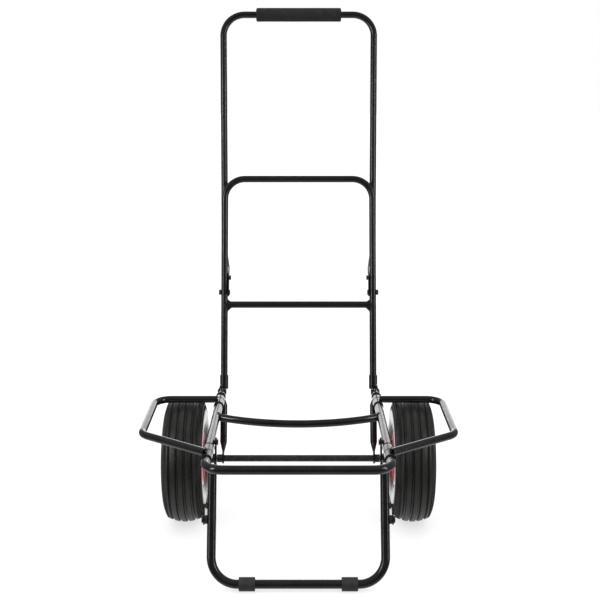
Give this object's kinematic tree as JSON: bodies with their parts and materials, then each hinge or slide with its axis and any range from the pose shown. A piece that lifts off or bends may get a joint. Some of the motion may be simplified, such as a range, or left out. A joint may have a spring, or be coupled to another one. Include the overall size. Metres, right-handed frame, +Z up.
{
  "type": "folding two-wheel game cart",
  "caption": "Folding hand cart of black tube: tipped deck with swing-out side arms, folding back and handle, front leg, axle with tyred wheels.",
  "frame": {"origin": "centre of the bounding box on the floor", "axes": "+Z up, +Y from the front bar towards the handle, +X to the right of someone facing +Y"},
  "size_m": [0.5944, 0.7133, 1.0664],
  "materials": {
    "black_paint": "glossy black powder coat",
    "red_paint": "glossy red enamel",
    "dark_steel": "blackened steel",
    "zinc": "zinc plated",
    "foam": "matt closed-cell foam",
    "rubber": "matt moulded rubber",
    "tyre": "moulded tread",
    "black_plastic": "smooth black plastic"
  },
  "bodies": {
    "platform": {"platform_tube": "black_paint", "platform_crossbar": "black_paint", "rear_pivot_bolts": "dark_steel", "rear_pivot_nuts": "dark_steel", "leg_pivot_bolts": "dark_steel", "leg_pivot_nuts": "dark_steel", "rail_rings": "black_plastic"},
    "rear_struts": {"strut_left": "black_paint", "strut_right": "black_paint", "axle": "dark_steel", "axle_inner_spacers": "dark_steel", "axle_outer_spacers": "dark_steel", "axle_washers": "zinc", "axle_caps": "black_plastic"},
    "front_leg": {"front_leg_tube": "black_paint", "foot_sleeve_left": "rubber", "foot_sleeve_right": "rubber", "link_spacers": "dark_steel", "link_bolts": "dark_steel", "stop_studs": "dark_steel"},
    "side_links": {"side_link_left": "black_paint", "side_link_right": "black_paint"},
    "back_frame": {"back_frame_tube": "black_paint", "back_hinge_plates": "black_paint", "back_crossbar": "black_paint", "handle_pivot_bolts": "dark_steel", "handle_pivot_nuts": "dark_steel"},
    "handle": {"handle_tube": "black_paint", "foam_grip": "foam"},
    "arm_left": {"arm_left_tube": "black_paint", "arm_left_rear_sleeve": "black_paint", "arm_left_front_sleeve": "black_paint"},
    "arm_right": {"arm_right_tube": "black_paint", "arm_right_rear_sleeve": "black_paint", "arm_right_front_sleeve": "black_paint"},
    "collar_left": {"lock_collar_left": "black_paint"},
    "collar_right": {"lock_collar_right": "black_paint"},
    "button_left": {"lock_button_left": "black_plastic"},
    "button_right": {"lock_button_right": "black_plastic"},
    "wheel_left": {"tyre_left": "tyre", "rim_outer_left": "red_paint", "rim_inner_left": "red_paint", "rim_bolts_left": "zinc", "hub_tube_left": "red_paint", "hub_bushes_left": "zinc", "valve_stem_left": "rubber", "valve_cap_left": "rubber"},
    "wheel_right": {"tyre_right": "tyre", "rim_outer_right": "red_paint", "rim_inner_right": "red_paint", "rim_bolts_right": "zinc", "hub_tube_right": "red_paint", "hub_bushes_right": "zinc", "valve_stem_right": "rubber", "valve_cap_right": "rubber"}
  },
  "joints": [
    {"name": "base_fold", "type": "hinge", "parent": "platform", "child": "rear_struts", "pos_m": [0, 0.10332, 0.26057], "axis": [1, 0, 0], "range_deg": [0, 72]},
    {"name": "leg_fold", "type": "hinge", "parent": "platform", "child": "front_leg", "pos_m": [0, -0.20849, 0.24968], "axis": [1, 0, 0], "range_deg": [0, 72]},
    {"name": "link_swing", "type": "hinge", "parent": "rear_struts", "child": "side_links", "pos_m": [0, 0.0545, 0.13], "axis": [1, 0, 0], "range_deg": [-72, 0]},
    {"name": "back_fold", "type": "hinge", "parent": "platform", "child": "back_frame", "pos_m": [0, 0.10332, 0.26057], "axis": [1, 0, 0], "range_deg": [0, 98]},
    {"name": "handle_fold", "type": "hinge", "parent": "back_frame", "child": "handle", "pos_m": [0, 0.17804, 0.46105], "axis": [-1, 0, 0], "range_deg": [0, 105]},
    {"name": "arm_left_fold", "type": "hinge", "parent": "platform", "child": "arm_left", "pos_m": [-0.162, 0.10332, 0.26057], "axis": [0, 0.9994, 0.0349], "range_deg": [0, 166]},
    {"name": "arm_right_fold", "type": "hinge", "parent": "platform", "child": "arm_right", "pos_m": [0.162, 0.10332, 0.26057], "axis": [0, -0.9994, -0.0349], "range_deg": [0, 166]},
    {"name": "collar_left_slide", "type": "slide", "parent": "back_frame", "child": "collar_left", "axis": [0, 0.2419, 0.9703], "range_m": [0, 0.026]},
    {"name": "collar_right_slide", "type": "slide", "parent": "back_frame", "child": "collar_right", "axis": [0, 0.2419, 0.9703], "range_m": [0, 0.026]},
    {"name": "button_left_pull", "type": "slide", "parent": "handle", "child": "button_left", "axis": [1, 0, 0], "range_m": [0, 0.003], "stiffness_N_per_m": 400},
    {"name": "button_right_pull", "type": "slide", "parent": "handle", "child": "button_right", "axis": [-1, 0, 0], "range_m": [0, 0.003], "stiffness_N_per_m": 400},
    {"name": "wheel_left_spin", "type": "hinge", "parent": "rear_struts", "child": "wheel_left", "pos_m": [-0.235, 0.0545, 0.13], "axis": [1, 0, 0], "continuous": true},
    {"name": "wheel_right_spin", "type": "hinge", "parent": "rear_struts", "child": "wheel_right", "pos_m": [0.235, 0.0545, 0.13], "axis": [1, 0, 0], "continuous": true}
  ],
  "couplings": [
    {"joint": "leg_fold", "follows": "base_fold", "ratio": 1},
    {"joint": "link_swing", "follows": "base_fold", "ratio": -1}
  ]
}
